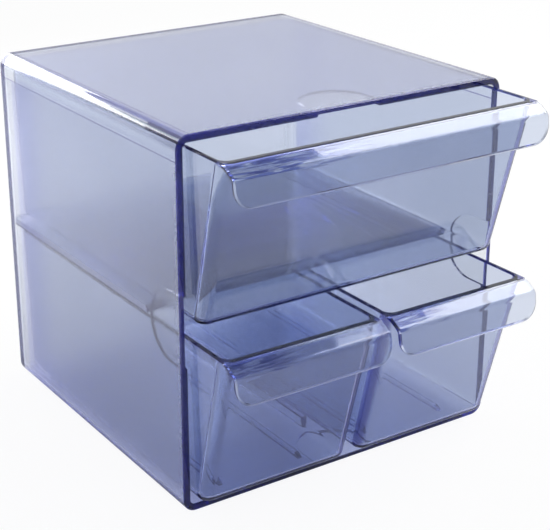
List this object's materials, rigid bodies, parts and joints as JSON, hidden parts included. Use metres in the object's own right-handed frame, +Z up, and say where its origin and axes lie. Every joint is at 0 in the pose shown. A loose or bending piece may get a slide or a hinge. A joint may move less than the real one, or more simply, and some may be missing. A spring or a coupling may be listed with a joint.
{
  "type": "desk drawer cube",
  "caption": "Clear tinted cube cabinet for a desk, with one full-width drawer over two half-width drawers, each with a leaning front and a moulded lip handle.",
  "frame": {"origin": "middle of the cabinet's base, on the surface that it stands on", "axes": "+Z up, -Y out of the cabinet's open front, +X to the right seen from the front"},
  "size_m": [0.15, 0.1829, 0.15],
  "materials": {
    "cabinet_plastic": "clear moulded polystyrene, faint violet-blue tint, polished",
    "drawer_plastic": "clear moulded polystyrene, faint blue tint, polished"
  },
  "bodies": {
    "cabinet": {"cabinet": "cabinet_plastic", "middle_shelf": "cabinet_plastic"},
    "top_drawer": {"top_drawer": "drawer_plastic"},
    "lower_left_drawer": {"lower_left_drawer": "drawer_plastic"},
    "lower_right_drawer": {"lower_right_drawer": "drawer_plastic"}
  },
  "joints": [
    {"name": "top_drawer_slide", "type": "slide", "parent": "cabinet", "child": "top_drawer", "axis": [0, -1, 0], "range_m": [-0.004, 0.1]},
    {"name": "lower_left_drawer_slide", "type": "slide", "parent": "cabinet", "child": "lower_left_drawer", "axis": [0, -1, 0], "range_m": [-0.004, 0.1]},
    {"name": "lower_right_drawer_slide", "type": "slide", "parent": "cabinet", "child": "lower_right_drawer", "axis": [0, -1, 0], "range_m": [-0.004, 0.1]}
  ]
}
